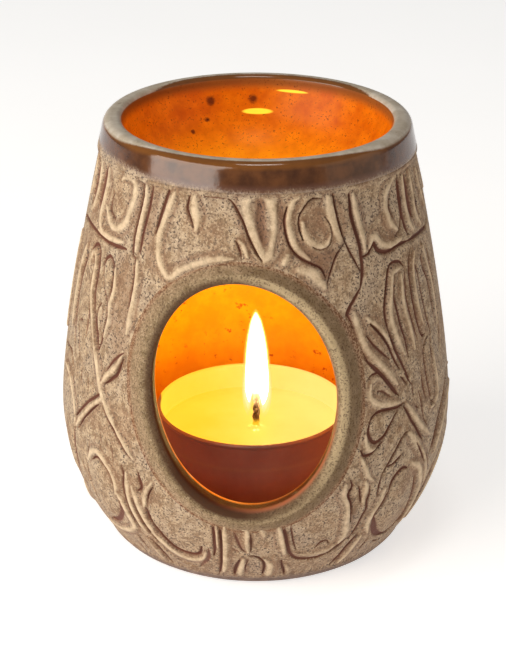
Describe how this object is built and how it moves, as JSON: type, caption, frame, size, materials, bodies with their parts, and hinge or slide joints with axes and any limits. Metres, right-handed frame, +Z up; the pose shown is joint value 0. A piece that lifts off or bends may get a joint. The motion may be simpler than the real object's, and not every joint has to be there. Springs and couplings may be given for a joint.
{
  "type": "essential oil burner",
  "caption": "Carved stoneware oil burner: oil dish on top, oval window with a smooth collar, tealight in its foil cup inside.",
  "frame": {"origin": "on the table, under the middle of the foot ring", "axes": "+Z up along the turning axis; the oval window faces -Y"},
  "size_m": [0.0784, 0.078, 0.086],
  "materials": {
    "stoneware": "matt, carved, with iron oxide rubbed into the grooves",
    "amber_glaze": "glossy amber-brown glaze with iron specks",
    "foil": "bright pressed foil",
    "wax": "translucent paraffin wax, molten on top",
    "wick_cotton": "braided cotton, charred at the top",
    "tab_tin": "tinned sheet",
    "flame": "candle flame"
  },
  "bodies": {
    "burner": {"ceramic_body": "stoneware"},
    "tealight": {"tealight_cup": "foil", "candle_wax": "wax", "wick": "wick_cotton", "wick_tab": "tab_tin"}
  },
  "joints": [
    {"name": "tealight_lift", "type": "slide", "parent": "burner", "child": "tealight", "axis": [0, 0, 1], "range_m": [0, 0.014]}
  ]
}
